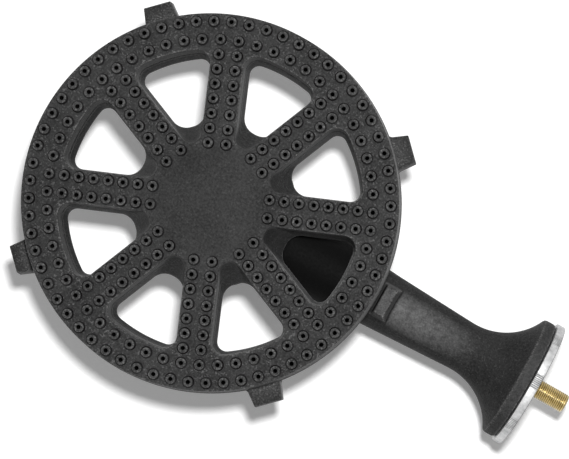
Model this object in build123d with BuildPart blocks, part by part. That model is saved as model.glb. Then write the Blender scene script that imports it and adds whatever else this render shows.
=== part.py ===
from build123d import *
import math
import os

# A banjo burner: a hollow ported head bolted to a mixer arm, with a gas inlet and an air shutter.
# Millimetres. The origin is the centre of the plane that the lugs sit on, and +X runs along the arm.

# Head casting: ring, spokes and hub in one hollow wheel, parted half-way up its walls
head_height = 28.0
underside_height = 1.0
parting_height = 13.0
ring_top_radius = 125.5
ring_parting_flare = 3.0
ring_foot_inset = 1.0
ring_inner_radius = 102.0
hub_radius = 42.0
spoke_count = 8
spoke_width = 24.0
window_corner_radius = 8.0
window_tip_radius = 6.0
window_draft = 1.5
window_foot_draft = 10.0
plate_thickness = 5.0
floor_thickness = 5.0
head_wall = 4.0
top_edge_chamfer = 0.5

# Foot of the hub: it flares to a land that takes the screws of the arm
foot_height = 2.0
foot_shoulder_drop = 2.0

# Lugs that sit on a stand
lug_count = 4
lug_reach = 12.8
lug_tip_width = 19.0
lug_root_width = 26.0
lug_straight = 5.0
lug_height = 13.0
lug_draft = 4.0

# Ports: a drilled hole in a low raised boss, in two rows on the ring and two on each spoke
port_bore_radius = 1.3
port_boss_radius = 3.4
port_boss_height = 1.2
port_boss_taper = 25.0
port_boss_sides = 6
port_bore_sides = 4
port_margin = 0.5
outer_row_inset = 4.0
outer_row_count = 64
inner_row_inset = 7.5
inner_row_count = 56
spoke_row_offset = 6.1
spoke_row_start = 39.5
spoke_row_pitch = 9.96
spoke_row_ports = 7

# Mixer arm casting: bowl under the hub, tapering tube, throat and bell mouth
bell_mouth_x = 246.5
bell_rim_length = 8.1
bell_rim_radius = 45.0
bell_rim_draft = 0.2
flare_radius = 44.5
throat_radius = 18.0
arm_root_radius = 25.0
arm_wall = 5.0
arm_headroom = 2.0
flange_thickness = 7.0
bowl_wall = 5.0
bowl_floor = 6.0
bowl_belly = 3.0
bowl_corner_radius = 26.0
tube_start_x = 8.0
arm_blend_radius = 5.0
pad_length = 9.0
pad_width = 21.0
pad_height = 12.0
pad_gap = 1.4
pad_draft = 6.0

# Bridge across the bell, which holds the gas inlet
bridge_depth = 9.0
bridge_thickness = 9.0
bridge_setback = 19.5
boss_radius = 11.0
boss_length = 12.0

# Hub joint: gasket, screws and washers
gasket_thickness = 1.0
screw_count = 4
screw_radius = 3.0
screw_clearance = 0.3
screw_engagement = 8.0
screw_tip_room = 1.0
screw_head_flats = 10.0
screw_head_height = 4.0
washer_radius = 6.0
washer_thickness = 1.6
washer_room = 0.5
thread_clearance = 0.1

# Gas inlet: a threaded brass tube with a jet in its inner end and a lock nut on the bridge
inlet_radius = 6.85
inlet_bore_radius = 4.0
inlet_reach = 33.5
inlet_tail = 6.0
inlet_tip_chamfer = 1.0
runout_width = 1.8
runout_depth = 0.7
runout_room = 0.2
jet_thread_radius = 3.0
jet_thread_length = 7.0
jet_bore_radius = 0.8
jet_flats = 8.0
jet_head_length = 5.0
jet_nose_length = 2.5
jet_nose_radius = 2.0
lock_nut_flats = 19.0
lock_nut_thickness = 5.0

# Air shutter: a plated disc with a domed face, run along the inlet's thread
shutter_overhang = 1.6
shutter_gap = 1.0
shutter_rim_length = 4.8
shutter_dome_radius = 336.0
shutter_boss_radius = 12.0
shutter_edge_chamfer = 0.6
shutter_clearance = 0.2

# Follower washer and spring behind the shutter
follower_radius = 12.5
follower_thickness = 1.2
follower_clearance = 0.3
spring_wire_radius = 0.7
spring_wire_sides = 6
spring_mean_radius = 9.0
spring_turns = 4
spring_end_room = 0.05

# Places worked out from the sizes above
spoke_pitch = 360 / spoke_count
spoke_axes = [spoke_pitch * (i + 0.5) for i in range(spoke_count)]
ring_parting_radius = ring_top_radius + ring_parting_flare
ring_foot_radius = ring_parting_radius - ring_foot_inset
lug_tip_radius = ring_foot_radius + lug_reach
outer_row_radius = ring_top_radius - outer_row_inset
inner_row_radius = ring_inner_radius + inner_row_inset
plate_underside = head_height - plate_thickness
duct_height = plate_underside - floor_thickness
duct_outer_radius = outer_row_radius + port_bore_radius + port_margin
duct_inner_radius = ring_inner_radius + head_wall
duct_width = spoke_width - 2 * head_wall
hub_chamber_radius = hub_radius - head_wall
bowl_radius = hub_chamber_radius + bowl_wall
screw_circle_radius = bowl_radius + washer_room + washer_radius
foot_radius = screw_circle_radius + washer_radius + washer_room

flange_top = -gasket_thickness
flange_underside = flange_top - flange_thickness
arm_axis_z = -arm_headroom - arm_root_radius
bowl_bottom = arm_axis_z - arm_root_radius - bowl_belly
arm_axis = Axis((0, 0, arm_axis_z), (1, 0, 0))
arm_plane = Plane(origin=(0, 0, arm_axis_z), x_dir=(1, 0, 0), z_dir=(0, -1, 0))

bell_shoulder_x = bell_mouth_x - bell_rim_length
bell_shoulder_radius = bell_rim_radius - bell_rim_draft
flare_centre_radius = throat_radius + flare_radius
flare_rise = flare_centre_radius - bell_shoulder_radius
throat_x = bell_shoulder_x - math.sqrt(flare_radius**2 - flare_rise**2)
bore_flare_radius = flare_radius + arm_wall
bore_root_radius = arm_root_radius - arm_wall

boss_outer_x = bell_mouth_x - bridge_setback
boss_inner_x = boss_outer_x - boss_length
inlet_tip_x = bell_mouth_x + inlet_reach
inlet_inner_x = boss_inner_x - inlet_tail
lock_nut_outer_x = boss_outer_x + lock_nut_thickness
shutter_inner_x = bell_mouth_x + shutter_gap
shutter_radius = bell_rim_radius + shutter_overhang
shutter_rim_x = shutter_inner_x + shutter_rim_length
dome_edge_radius = shutter_radius - shutter_edge_chamfer
dome_centre_x = shutter_rim_x - math.sqrt(shutter_dome_radius**2 - dome_edge_radius**2)
shutter_face_x = dome_centre_x + math.sqrt(shutter_dome_radius**2 - shutter_boss_radius**2)
hose_thread_x = shutter_face_x + runout_room
follower_inner_x = shutter_inner_x - follower_thickness
screw_seat = flange_underside - washer_thickness
pad_start_x = ring_parting_radius + pad_gap

os.makedirs("parts", exist_ok=True)


def keep(built, label):
    """Name a finished piece and write it to its own file."""
    built.part.label = label
    export_step(built.part, f"parts/{label}.step")
    return built.part


def axial_plane(x):
    """The plane square to the arm at distance x from the head's centre, facing +X."""
    return Plane(origin=(x, 0, arm_axis_z), x_dir=(0, 1, 0), z_dir=(1, 0, 0))


def spoke_row(side):
    """Places of the row of ports on one side of every spoke."""
    for angle in spoke_axes:
        for i in range(spoke_row_ports):
            along = spoke_row_start + spoke_row_pitch * i
            yield Vector(along, side * spoke_row_offset).rotate(Axis.Z, angle)


def ring_row(radius, count):
    """Places of a row of ports round the ring, with a port on every window's axis."""
    for i in range(count):
        yield Vector(radius, 0).rotate(Axis.Z, 360 * i / count)


def flare_ends(root_radius, sweep_radius):
    """Start and end angles of a flare's arc that carries on from a straight taper off the tube's root."""
    across = throat_x - foot_radius
    up = flare_centre_radius - root_radius
    taper = math.degrees(math.atan2(up, across) - math.asin(sweep_radius / math.hypot(across, up)))
    rise = math.degrees(math.asin((bell_shoulder_x - throat_x) / sweep_radius))
    return taper - 90, rise - 90


port_rows = [
    [*ring_row(outer_row_radius, outer_row_count)],
    [*ring_row(inner_row_radius, inner_row_count)],
    [*spoke_row(1)],
    [*spoke_row(-1)],
]

# Outline of one window on the +X axis: two spoke sides, the ring and the hub, with round corners
window_reach = ring_top_radius
window_apex = spoke_width / 2 / math.sin(math.radians(spoke_pitch / 2))
window_spread = (window_reach - window_apex) * math.tan(math.radians(spoke_pitch / 2))
with BuildSketch() as window_outline:
    with BuildLine():
        Polyline(
            (window_apex, 0),
            (window_reach, window_spread),
            (window_reach, -window_spread),
            close=True,
        )
    make_face()
    Circle(ring_inner_radius, mode=Mode.INTERSECT)
    Circle(hub_radius, mode=Mode.SUBTRACT)
    window_corners = window_outline.vertices().sort_by(Axis.X)
    fillet(window_corners[2:], window_corner_radius)
    fillet(window_outline.vertices().sort_by(Axis.X)[:2], window_tip_radius)

# Outline of one lug on the +X axis, with hollow sides that spread into the ring
lug_root_radius = ring_foot_radius - head_wall
with BuildSketch() as lug_outline:
    with BuildLine():
        lug_side = TangentArc(
            (lug_tip_radius - lug_straight, lug_tip_width / 2),
            (ring_foot_radius, lug_root_width / 2),
            tangent=(-1, 0),
        )
        Polyline(
            lug_side @ 1,
            (lug_root_radius, lug_root_width / 2),
            (lug_root_radius, 0),
            (lug_tip_radius, 0),
            (lug_tip_radius, lug_tip_width / 2),
            lug_side @ 0,
        )
    make_face()
    mirror(about=Plane.XZ)

# Burner head
with BuildPart() as burner_head:
    with BuildSketch(Plane.XZ):
        with BuildLine():
            Polyline(
                (0, underside_height),
                (ring_foot_radius, underside_height),
                (ring_parting_radius, parting_height),
                (ring_top_radius, head_height),
                (0, head_height),
                close=True,
            )
        make_face()
    revolve(axis=Axis.Z)
    # windows: they narrow a little down to the parting line and more below it
    with BuildSketch(Plane.XY.offset(parting_height)) as windows:
        with PolarLocations(0, spoke_count):
            add(window_outline.sketch)
    extrude(amount=head_height - parting_height, taper=-window_draft, mode=Mode.SUBTRACT)
    extrude(windows.sketch, amount=-parting_height, taper=window_foot_draft, mode=Mode.SUBTRACT)
    chamfer(burner_head.faces().sort_by(Axis.Z)[-1].edges(), top_edge_chamfer)
    # flared foot under the hub
    with BuildSketch(Plane.XZ):
        with BuildLine():
            Polyline(
                (0, 0),
                (foot_radius, 0),
                (foot_radius, foot_height),
                (hub_radius, head_height - foot_shoulder_drop),
                (0, head_height - foot_shoulder_drop),
                close=True,
            )
        make_face()
    revolve(axis=Axis.Z)
    # lugs on the diagonals
    with BuildSketch():
        with PolarLocations(0, lug_count, start_angle=180 / lug_count):
            add(lug_outline.sketch)
    extrude(amount=lug_height, taper=lug_draft)
    # gas passages: ring duct, spoke ducts and hub chamber
    with BuildSketch(Plane.XY.offset(floor_thickness)):
        Circle(duct_outer_radius)
        Circle(duct_inner_radius, mode=Mode.SUBTRACT)
        with PolarLocations(0, spoke_count, start_angle=spoke_axes[0]):
            Rectangle((duct_inner_radius + duct_outer_radius) / 2, duct_width, align=(Align.MIN, Align.CENTER))
        Circle(hub_chamber_radius)
    extrude(amount=duct_height, mode=Mode.SUBTRACT)
    with BuildSketch():
        Circle(hub_chamber_radius)
    extrude(amount=floor_thickness, mode=Mode.SUBTRACT)
    # tapped holes for the arm's screws
    with BuildSketch():
        with PolarLocations(screw_circle_radius, screw_count, start_angle=180 / screw_count):
            Circle(screw_radius + thread_clearance)
    extrude(amount=screw_engagement + screw_tip_room, mode=Mode.SUBTRACT)
    # raised bosses, then the drilled ports
    for places in port_rows:
        with BuildSketch(Plane.XY.offset(head_height)):
            with Locations(places):
                RegularPolygon(port_boss_radius, port_boss_sides)
        extrude(amount=port_boss_height, taper=port_boss_taper)
    for places in port_rows:
        with BuildSketch(Plane.XY.offset(plate_underside)):
            with Locations(places):
                RegularPolygon(port_bore_radius, port_bore_sides)
        extrude(amount=plate_thickness + port_boss_height, mode=Mode.SUBTRACT)
keep(burner_head, "burner_head")

# Side profiles of the tube and bell above the arm's axis: the outside, and the bore inside it
with BuildSketch(arm_plane) as arm_outside:
    with BuildLine():
        start_angle, end_angle = flare_ends(arm_root_radius, flare_radius)
        flare = CenterArc((throat_x, flare_centre_radius), flare_radius, start_angle, end_angle - start_angle)
        Polyline(
            flare @ 1,
            (bell_mouth_x, bell_rim_radius),
            (bell_mouth_x, 0),
            (tube_start_x, 0),
            (tube_start_x, arm_root_radius),
            (foot_radius, arm_root_radius),
            flare @ 0,
        )
    make_face()
with BuildSketch(arm_plane) as arm_bore:
    with BuildLine():
        start_angle, end_angle = flare_ends(bore_root_radius, bore_flare_radius)
        flare = CenterArc((throat_x, flare_centre_radius), bore_flare_radius, start_angle, end_angle - start_angle)
        Polyline(
            flare @ 1,
            (bell_mouth_x, (flare @ 1).Y),
            (bell_mouth_x, 0),
            (0, 0),
            (0, bore_root_radius),
            (foot_radius, bore_root_radius),
            flare @ 0,
        )
    make_face()

# Bridge: a bar across the bell, trimmed to the casting's outside, with a boss in its middle
with BuildPart() as bridge:
    revolve(arm_outside.sketch, axis=arm_axis)
    with BuildSketch(axial_plane(boss_outer_x - (boss_length + bridge_depth) / 2)):
        Rectangle(2 * bell_rim_radius, bridge_thickness)
    extrude(amount=bridge_depth, mode=Mode.INTERSECT)
    with BuildSketch(axial_plane(boss_inner_x)):
        Circle(boss_radius)
    extrude(amount=boss_length)

# Mixer arm
with BuildPart() as mixer_arm:
    revolve(arm_outside.sketch, axis=arm_axis)
    # bowl and flange under the hub
    with BuildSketch(Plane.XZ):
        with BuildLine():
            bowl_side = Polyline(
                (0, bowl_bottom),
                (0, flange_top),
                (foot_radius, flange_top),
                (foot_radius, flange_underside),
                (bowl_radius, flange_underside),
                (bowl_radius, bowl_bottom + bowl_corner_radius),
            )
            bowl_corner = RadiusArc(
                bowl_side @ 1,
                (bowl_radius - bowl_corner_radius, bowl_bottom),
                bowl_corner_radius,
            )
            Line(bowl_corner @ 1, bowl_side @ 0)
        make_face()
    revolve(axis=Axis.Z)
    # round blend where the tube meets the bowl, below the flange
    crotch = mixer_arm.edges(Select.NEW).filter_by_position(Axis.Z, bowl_bottom, screw_seat)
    fillet(crotch, arm_blend_radius)
    # pad on the crest of the tube, just outside the head's ring
    with BuildSketch(Plane.XY.offset(pad_height)):
        with Locations((pad_start_x, 0)):
            Rectangle(pad_length, pad_width, align=(Align.MIN, Align.CENTER))
    extrude(amount=arm_axis_z - pad_height, taper=-pad_draft)
    # bore of the tube and hollow of the bowl
    revolve(arm_bore.sketch, axis=arm_axis, mode=Mode.SUBTRACT)
    with BuildSketch(Plane.XZ):
        with BuildLine():
            hollow_bottom = bowl_bottom + bowl_floor
            hollow_corner_radius = bowl_corner_radius - bowl_wall
            hollow_side = Polyline(
                (0, hollow_bottom),
                (0, flange_top),
                (hub_chamber_radius, flange_top),
                (hub_chamber_radius, hollow_bottom + hollow_corner_radius),
            )
            hollow_corner = RadiusArc(
                hollow_side @ 1,
                (hub_chamber_radius - hollow_corner_radius, hollow_bottom),
                hollow_corner_radius,
            )
            Line(hollow_corner @ 1, hollow_side @ 0)
        make_face()
    revolve(axis=Axis.Z, mode=Mode.SUBTRACT)
    # bridge with its tapped hole, and the holes of the flange
    add(bridge.part)
    with BuildSketch(axial_plane(boss_inner_x)):
        Circle(inlet_radius + thread_clearance)
    extrude(amount=boss_length, mode=Mode.SUBTRACT)
    with BuildSketch(Plane.XY.offset(flange_underside)):
        with PolarLocations(screw_circle_radius, screw_count, start_angle=180 / screw_count):
            Circle(screw_radius + screw_clearance)
    extrude(amount=flange_thickness, mode=Mode.SUBTRACT)
keep(mixer_arm, "mixer_arm")

# Gasket between the hub's foot and the arm's flange
with BuildPart() as hub_gasket:
    with BuildSketch(Plane.XY.offset(flange_top)):
        Circle(foot_radius)
        Circle(hub_chamber_radius, mode=Mode.SUBTRACT)
        with PolarLocations(screw_circle_radius, screw_count, start_angle=180 / screw_count):
            Circle(screw_radius + screw_clearance, mode=Mode.SUBTRACT)
    extrude(amount=gasket_thickness)
keep(hub_gasket, "hub_gasket")

# Screws that draw the arm up to the head, and their washers
with BuildPart() as hub_screws:
    with BuildSketch(Plane.XY.offset(screw_seat)):
        with PolarLocations(screw_circle_radius, screw_count, start_angle=180 / screw_count):
            Circle(screw_radius)
    extrude(amount=screw_engagement - screw_seat)
    with BuildSketch(Plane.XY.offset(screw_seat - screw_head_height)):
        with PolarLocations(screw_circle_radius, screw_count, start_angle=180 / screw_count):
            RegularPolygon(screw_head_flats / 2, 6, major_radius=False)
    extrude(amount=screw_head_height)
keep(hub_screws, "hub_screws")

with BuildPart() as hub_washers:
    with BuildSketch(Plane.XY.offset(screw_seat)):
        with PolarLocations(screw_circle_radius, screw_count, start_angle=180 / screw_count):
            Circle(washer_radius)
            Circle(screw_radius + screw_clearance, mode=Mode.SUBTRACT)
    extrude(amount=washer_thickness)
keep(hub_washers, "hub_washers")

# Gas inlet
with BuildPart() as gas_inlet:
    with BuildSketch(axial_plane(inlet_inner_x)):
        Circle(inlet_radius)
        Circle(jet_thread_radius + thread_clearance, mode=Mode.SUBTRACT)
    extrude(amount=inlet_tip_x - inlet_inner_x)
    with BuildSketch(axial_plane(inlet_inner_x + jet_thread_length)):
        Circle(inlet_bore_radius)
    extrude(amount=inlet_tip_x - inlet_inner_x - jet_thread_length, mode=Mode.SUBTRACT)
    chamfer(gas_inlet.faces().sort_by(Axis.X)[-1].outer_wire().edges(), inlet_tip_chamfer)
    # run-out groove at the shutter's face, where the hose's thread begins
    with BuildSketch(axial_plane(hose_thread_x - runout_width)):
        Circle(inlet_radius)
        Circle(inlet_radius - runout_depth, mode=Mode.SUBTRACT)
    extrude(amount=runout_width, mode=Mode.SUBTRACT)
keep(gas_inlet, "gas_inlet")

# Jet in the inner end of the inlet, aimed down the throat
with BuildPart() as orifice_jet:
    with BuildSketch(axial_plane(inlet_inner_x)):
        Circle(jet_thread_radius)
    extrude(amount=jet_thread_length)
    with BuildSketch(axial_plane(inlet_inner_x - jet_head_length)):
        RegularPolygon(jet_flats / 2, 6, major_radius=False)
    extrude(amount=jet_head_length)
    with BuildSketch(axial_plane(inlet_inner_x - jet_head_length - jet_nose_length)):
        Circle(jet_nose_radius)
    extrude(amount=jet_nose_length)
    with BuildSketch(axial_plane(inlet_inner_x - jet_head_length - jet_nose_length)):
        Circle(jet_bore_radius)
    extrude(amount=jet_nose_length + jet_head_length + jet_thread_length, mode=Mode.SUBTRACT)
keep(orifice_jet, "orifice_jet")

# Lock nut that holds the inlet to the bridge
with BuildPart() as lock_nut:
    with BuildSketch(axial_plane(boss_outer_x)):
        RegularPolygon(lock_nut_flats / 2, 6, major_radius=False)
        Circle(inlet_radius + thread_clearance, mode=Mode.SUBTRACT)
    extrude(amount=lock_nut_thickness)
keep(lock_nut, "lock_nut")

# Air shutter
with BuildPart() as air_shutter:
    with BuildSketch(arm_plane):
        with BuildLine():
            shutter_bore = inlet_radius + shutter_clearance
            dome = RadiusArc(
                (shutter_face_x, shutter_boss_radius),
                (shutter_rim_x, dome_edge_radius),
                -shutter_dome_radius,
            )
            Polyline(
                dome @ 1,
                (shutter_rim_x - shutter_edge_chamfer, shutter_radius),
                (shutter_inner_x + shutter_edge_chamfer, shutter_radius),
                (shutter_inner_x, shutter_radius - shutter_edge_chamfer),
                (shutter_inner_x, shutter_bore),
                (shutter_face_x, shutter_bore),
                dome @ 0,
            )
        make_face()
    revolve(axis=arm_axis)
keep(air_shutter, "air_shutter")

# Follower washer between the spring and the turning shutter
with BuildPart() as follower_washer:
    with BuildSketch(axial_plane(follower_inner_x)):
        Circle(follower_radius)
        Circle(inlet_radius + follower_clearance, mode=Mode.SUBTRACT)
    extrude(amount=follower_thickness)
keep(follower_washer, "follower_washer")

# Spring that steadies the shutter: a helix of tangent arcs, two to each quarter turn
spring_start_x = lock_nut_outer_x + spring_wire_radius + spring_end_room
spring_end_x = follower_inner_x - spring_wire_radius - spring_end_room
spring_pitch = (spring_end_x - spring_start_x) / spring_turns


def spring_point(turn):
    """Centre of the wire after so many turns."""
    angle = 2 * math.pi * turn
    across = Vector(0, math.cos(angle), math.sin(angle)) * spring_mean_radius
    return Vector(spring_start_x + spring_pitch * turn, 0, arm_axis_z) + across


def spring_heading(turn):
    """Direction of the wire after so many turns."""
    angle = 2 * math.pi * turn
    around = Vector(0, -math.sin(angle), math.cos(angle)) * (2 * math.pi * spring_mean_radius)
    return (around + Vector(spring_pitch, 0, 0)).normalized()


def spring_joint(first, last):
    """Point where the two arcs between two turns of the helix meet."""
    ahead = spring_heading(first)
    behind = spring_heading(last)
    chord = spring_point(last) - spring_point(first)
    square = 2 * (1 - ahead.dot(behind))
    slope = chord.dot(ahead + behind)
    reach = (math.sqrt(slope**2 + square * chord.dot(chord)) - slope) / square
    return (spring_point(first) + ahead * reach + spring_point(last) - behind * reach) / 2


with BuildPart() as shutter_spring:
    with BuildLine() as spring_path:
        for quarter in range(4 * spring_turns):
            first = quarter / 4
            last = (quarter + 1) / 4
            lead = TangentArc(spring_point(first), spring_joint(first, last), tangent=spring_heading(first))
            TangentArc(lead @ 1, spring_point(last), tangent=lead % 1)
    with BuildSketch(Plane(spring_point(0), z_dir=spring_heading(0))):
        RegularPolygon(spring_wire_radius, spring_wire_sides)
    sweep()
keep(shutter_spring, "shutter_spring")

spring_samples = [spring_point(i / 24) for i in range(24 * spring_turns + 1)]
spring_gap = min(
    (spring_samples[j] - spring_samples[i]).length - 2 * spring_wire_radius
    for i in range(len(spring_samples))
    for j in range(i + 12, len(spring_samples))
)
print(f"spring: least gap to itself {spring_gap:.2f} mm")
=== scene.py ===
# %% [markdown]
# # A cast-iron banjo burner
# A banjo burner is a flat hollow wheel of small gas ports. A mixing tube leaves it at one side, like
# the neck of a banjo, and ends in a bell mouth with a plated air shutter and a threaded brass inlet.
# The packed model gives the places, the outer sizes and what moves, so it is loaded first and never
# moved. The pieces made below stand in for its plain solids, in the same place, with the finish that
# the real thing has.

# %% Load the packed model
import math

import bmesh
import bpy
import numpy as np
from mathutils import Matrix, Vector
from mathutils.geometry import delaunay_2d_cdt


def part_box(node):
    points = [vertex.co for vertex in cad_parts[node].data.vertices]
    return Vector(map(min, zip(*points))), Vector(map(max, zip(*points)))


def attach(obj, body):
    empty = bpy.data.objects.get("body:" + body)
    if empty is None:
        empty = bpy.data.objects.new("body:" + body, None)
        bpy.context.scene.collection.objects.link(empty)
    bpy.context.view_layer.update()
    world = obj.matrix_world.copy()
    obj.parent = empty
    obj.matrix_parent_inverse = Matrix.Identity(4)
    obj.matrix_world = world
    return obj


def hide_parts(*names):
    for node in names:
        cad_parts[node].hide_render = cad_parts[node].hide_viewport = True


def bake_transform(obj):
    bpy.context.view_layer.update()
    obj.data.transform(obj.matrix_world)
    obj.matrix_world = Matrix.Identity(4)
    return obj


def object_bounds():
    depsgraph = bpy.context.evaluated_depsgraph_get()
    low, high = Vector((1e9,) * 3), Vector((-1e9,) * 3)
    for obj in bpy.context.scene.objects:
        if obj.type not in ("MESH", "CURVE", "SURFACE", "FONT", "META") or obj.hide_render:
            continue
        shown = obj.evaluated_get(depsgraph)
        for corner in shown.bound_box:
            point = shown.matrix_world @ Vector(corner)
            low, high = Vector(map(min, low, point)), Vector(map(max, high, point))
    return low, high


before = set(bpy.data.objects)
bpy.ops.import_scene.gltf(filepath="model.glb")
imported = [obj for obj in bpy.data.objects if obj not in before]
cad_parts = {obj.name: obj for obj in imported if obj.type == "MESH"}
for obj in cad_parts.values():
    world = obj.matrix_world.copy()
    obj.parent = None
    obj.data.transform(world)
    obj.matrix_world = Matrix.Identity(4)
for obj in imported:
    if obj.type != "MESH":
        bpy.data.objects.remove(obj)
cad_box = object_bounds()
mm = 0.001
print("packed box in mm:", [round((high - low) / mm, 1) for low, high in zip(*cad_box)])

# %% [markdown]
# ## Camera
# The photograph looks straight down on the wheel, and the arm runs to the lower right. A lens shift
# keeps the camera pointing straight down while the picture takes in what lies to one side of it.
# Tilting the camera would show the same things, but the wheel would no longer be round.


# %% Camera above the plate
def put_in_scene(name, data):
    """Make an object of a camera, a lamp or a mesh, and link it to the scene."""
    made = bpy.data.objects.new(name, data)
    bpy.context.scene.collection.objects.link(made)
    return made


arm_turn = math.radians(29.45)
eye_height = 1062 * mm
camera_data = bpy.data.cameras.new("overhead_camera")
camera_data.lens = 97.9
camera_data.shift_x = -0.1775
camera_data.shift_y = 0.177
camera = put_in_scene("overhead_camera", camera_data)
camera.location = (144.3 * mm, -16.8 * mm, eye_height)
camera.rotation_euler = (0, 0, arm_turn)
bpy.context.scene.camera = camera
bpy.context.scene.view_settings.view_transform = "Standard"
print("camera height above the ports in mm:", round((camera.location.z - cad_box[1].z) / mm))

# %% [markdown]
# ## Key lamp
# The burner lies on white, with one soft shadow that falls the same way everywhere. A lamp beside the
# camera does that: along each edge the camera sees a thin strip that the lamp doesn't. A sun would do
# as well, but a lamp at a set height spreads the shadow a little, as in the photograph. Its light
# doesn't fade with distance, so the wheel and the arm are lit alike.

# %% Key lamp
lamp_data = bpy.data.lights.new("key_lamp", "POINT")
lamp_data.shadow_soft_size = 50 * mm
lamp_data.energy = 1
lamp_data.use_nodes = True
lamp_tree = lamp_data.node_tree
falloff = lamp_tree.nodes.new("ShaderNodeLightFalloff")
falloff.inputs["Strength"].default_value = 38.0
lamp_tree.links.new(falloff.outputs["Constant"], lamp_tree.nodes["Emission"].inputs["Strength"])
lamp = put_in_scene("key_lamp", lamp_data)
lamp.location = (115 * mm, 144 * mm, eye_height)
print("lamp height in mm:", round(lamp.location.z / mm))

# %% [markdown]
# ## White room
# The rest of the light comes evenly from a white room. Light Path lets the camera and the bright
# metal see that room as plain white, while it lights rough surfaces less, so the shadow keeps its
# depth. An image of a studio would give livelier reflections, but it would tie the finish to one room.

# %% White room
room_light = 0.2
room = bpy.data.worlds.new("white_room")
room.use_nodes = True
bpy.context.scene.world = room
room_nodes = room.node_tree.nodes
room_wire = room.node_tree.links.new
ray_kind = room_nodes.new("ShaderNodeLightPath")
sees_white = ray_kind.outputs["Is Camera Ray"]
for ray in ("Is Glossy Ray", "Is Transmission Ray"):
    either = room_nodes.new("ShaderNodeMath")
    either.operation = "MAXIMUM"
    room_wire(sees_white, either.inputs[0])
    room_wire(ray_kind.outputs[ray], either.inputs[1])
    sees_white = either.outputs[0]
room_level = room_nodes.new("ShaderNodeMapRange")
room_level.inputs["To Min"].default_value = room_light
room_wire(sees_white, room_level.inputs["Value"])
room_wire(room_level.outputs["Result"], room_nodes["Background"].inputs["Strength"])
room_nodes["Background"].inputs["Color"].default_value = (1, 1, 1, 1)
print("light of the room:", room_light)

# %% [markdown]
# ## Floor
# A white disc carries the shadow. A square would do, but a round edge looks the same from every side.
# It glows a little for the camera alone, so that it comes close to the room's white.

# %% White floor
floor_radius = 1.3
floor_sides = 64
floor_drop = 0.5 * mm
floor_glow_level = 0.16
floor_z = cad_box[0].z - floor_drop
floor_ring = [
    (floor_radius * math.cos(turn), floor_radius * math.sin(turn), floor_z)
    for turn in np.linspace(0, 2 * math.pi, floor_sides, endpoint=False)
]
floor_mesh = bpy.data.meshes.new("floor")
floor_mesh.from_pydata(floor_ring, [], [list(range(len(floor_ring)))])
floor = put_in_scene("floor", floor_mesh)
floor_white = bpy.data.materials.new("floor_white")
floor_white.use_nodes = True
floor_nodes = floor_white.node_tree.nodes
floor_shader = floor_nodes["Principled BSDF"]
floor_shader.inputs["Base Color"].default_value = (0.94, 0.94, 0.94, 1)
floor_shader.inputs["Roughness"].default_value = 0.9
floor_shader.inputs["Specular IOR Level"].default_value = 0.0
floor_shader.inputs["Emission Color"].default_value = (1, 1, 1, 1)
floor_sight = floor_nodes.new("ShaderNodeLightPath")
floor_glow = floor_nodes.new("ShaderNodeMath")
floor_glow.operation = "MULTIPLY"
floor_glow.inputs[1].default_value = floor_glow_level
floor_wire = floor_white.node_tree.links.new
floor_wire(floor_sight.outputs["Is Camera Ray"], floor_glow.inputs[0])
floor_wire(floor_glow.outputs[0], floor_shader.inputs["Emission Strength"])
floor_mesh.materials.append(floor_white)
print("floor height in mm:", round(floor_z / mm, 1))

# %% [markdown]
# ## A short way to write a finish
# Each finish is a tree of nodes on one Principled shader: noise for grain and mottling, a bump for the
# skin, and numbers stored on the mesh for worn edges and dirty corners. A small class keeps that tree
# readable: every call adds one node and says what feeds it. A noise is named by the size of its
# clouds in metres, so that grain keeps its real scale.


# %% Finish: one material and its nodes
class Finish:
    """One material, with short calls that each add a node and feed it."""

    def __init__(self, name):
        self.material = bpy.data.materials.new(name)
        self.material.use_nodes = True
        self.tree = self.material.node_tree
        self.shader = self.tree.nodes["Principled BSDF"]
        self.place = self.add("ShaderNodeTexCoord", {}).outputs["Object"]

    def add(self, kind, feeds, **settings):
        node = self.tree.nodes.new(kind)
        for setting, value in settings.items():
            setattr(node, setting, value)
        for socket, value in feeds.items():
            self.feed(node.inputs[socket], value)
        return node

    def feed(self, socket, value):
        if isinstance(value, bpy.types.NodeSocket):
            self.tree.links.new(value, socket)
        else:
            socket.default_value = value

    def noise(self, size, detail=3.0, roughness=0.5, place=None):
        place = place or self.place
        feeds = {"Vector": place, "Scale": 1 / size, "Detail": detail, "Roughness": roughness}
        return self.add("ShaderNodeTexNoise", feeds).outputs["Fac"]

    def spread(self, value, low, high, to_low=0.0, to_high=1.0):
        feeds = {"Value": value, "From Min": low, "From Max": high}
        feeds |= {"To Min": to_low, "To Max": to_high}
        return self.add("ShaderNodeMapRange", feeds).outputs["Result"]

    def sum(self, value, share, other):
        feeds = {0: other, 1: share, 2: value}
        return self.add("ShaderNodeMath", feeds, operation="MULTIPLY_ADD").outputs[0]

    def product(self, value, other):
        return self.add("ShaderNodeMath", {0: value, 1: other}, operation="MULTIPLY").outputs[0]

    def mix(self, share, first, second):
        feeds = {0: share, 6: first, 7: second}
        return self.add("ShaderNodeMix", feeds, data_type="RGBA").outputs[2]

    def on_mesh(self, name):
        return self.add("ShaderNodeAttribute", {}, attribute_name=name).outputs["Fac"]

    def along(self, source, axis):
        place = self.add("ShaderNodeTexCoord", {}).outputs[source]
        return self.add("ShaderNodeSeparateXYZ", {"Vector": place}).outputs[axis]

    def squeezed(self, x, y, z):
        feeds = {"Vector": self.place, "Scale": (x, y, z)}
        return self.add("ShaderNodeMapping", feeds).outputs["Vector"]

    def skin(self, height, depth, strength=1.0):
        feeds = {"Height": height, "Distance": depth, "Strength": strength}
        bump = self.add("ShaderNodeBump", feeds)
        self.feed(self.shader.inputs["Normal"], bump.outputs["Normal"])

    def look(self, **sockets):
        for socket, value in sockets.items():
            self.feed(self.shader.inputs[socket.replace("_", " ")], value)
        return self.material


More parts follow.
